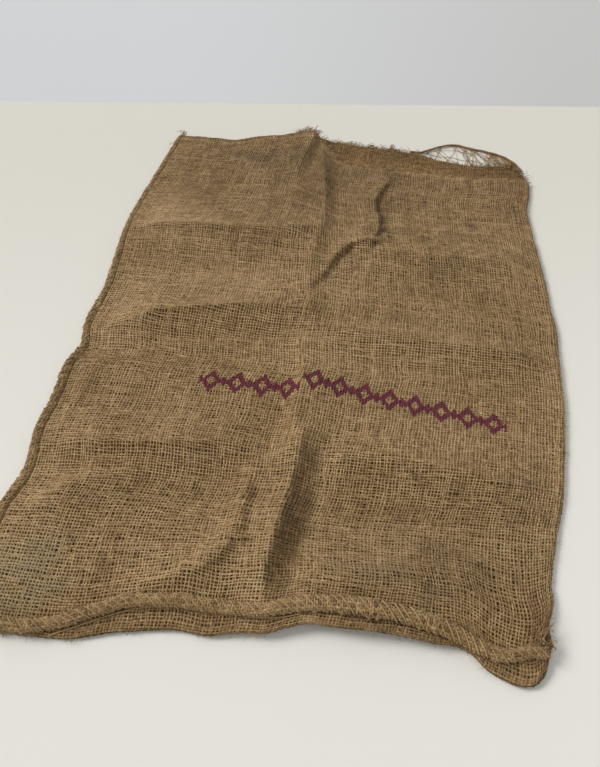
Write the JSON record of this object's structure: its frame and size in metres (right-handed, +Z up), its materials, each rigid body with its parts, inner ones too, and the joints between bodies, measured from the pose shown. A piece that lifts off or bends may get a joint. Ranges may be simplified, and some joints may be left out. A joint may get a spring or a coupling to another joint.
{
  "type": "sack",
  "caption": "Empty coarse jute sack lying flat and open at one end, with overcast twine seams down one side and along the bottom and a frayed mouth edge.",
  "frame": {"origin": "on the surface the sack lies on, under the middle of its bounding box", "axes": "+X from the sewn side to the folded side, +Y from the sewn bottom to the open mouth, +Z up from the surface"},
  "size_m": [0.6319, 0.887, 0.0317],
  "materials": {
    "jute_hessian": "coarse open plain weave of dry jute yarn",
    "jute_twine": "thick twisted jute twine in overcast stitches",
    "jute_edge": "frayed jute edge yarn"
  },
  "bodies": {
    "root": {"sack": "jute_hessian", "side_seam": "jute_twine", "bottom_seam": "jute_twine", "loose_selvedge": "jute_edge", "mouth_fringe": "jute_edge", "mouth_tuft": "jute_edge"}
  },
  "joints": []
}
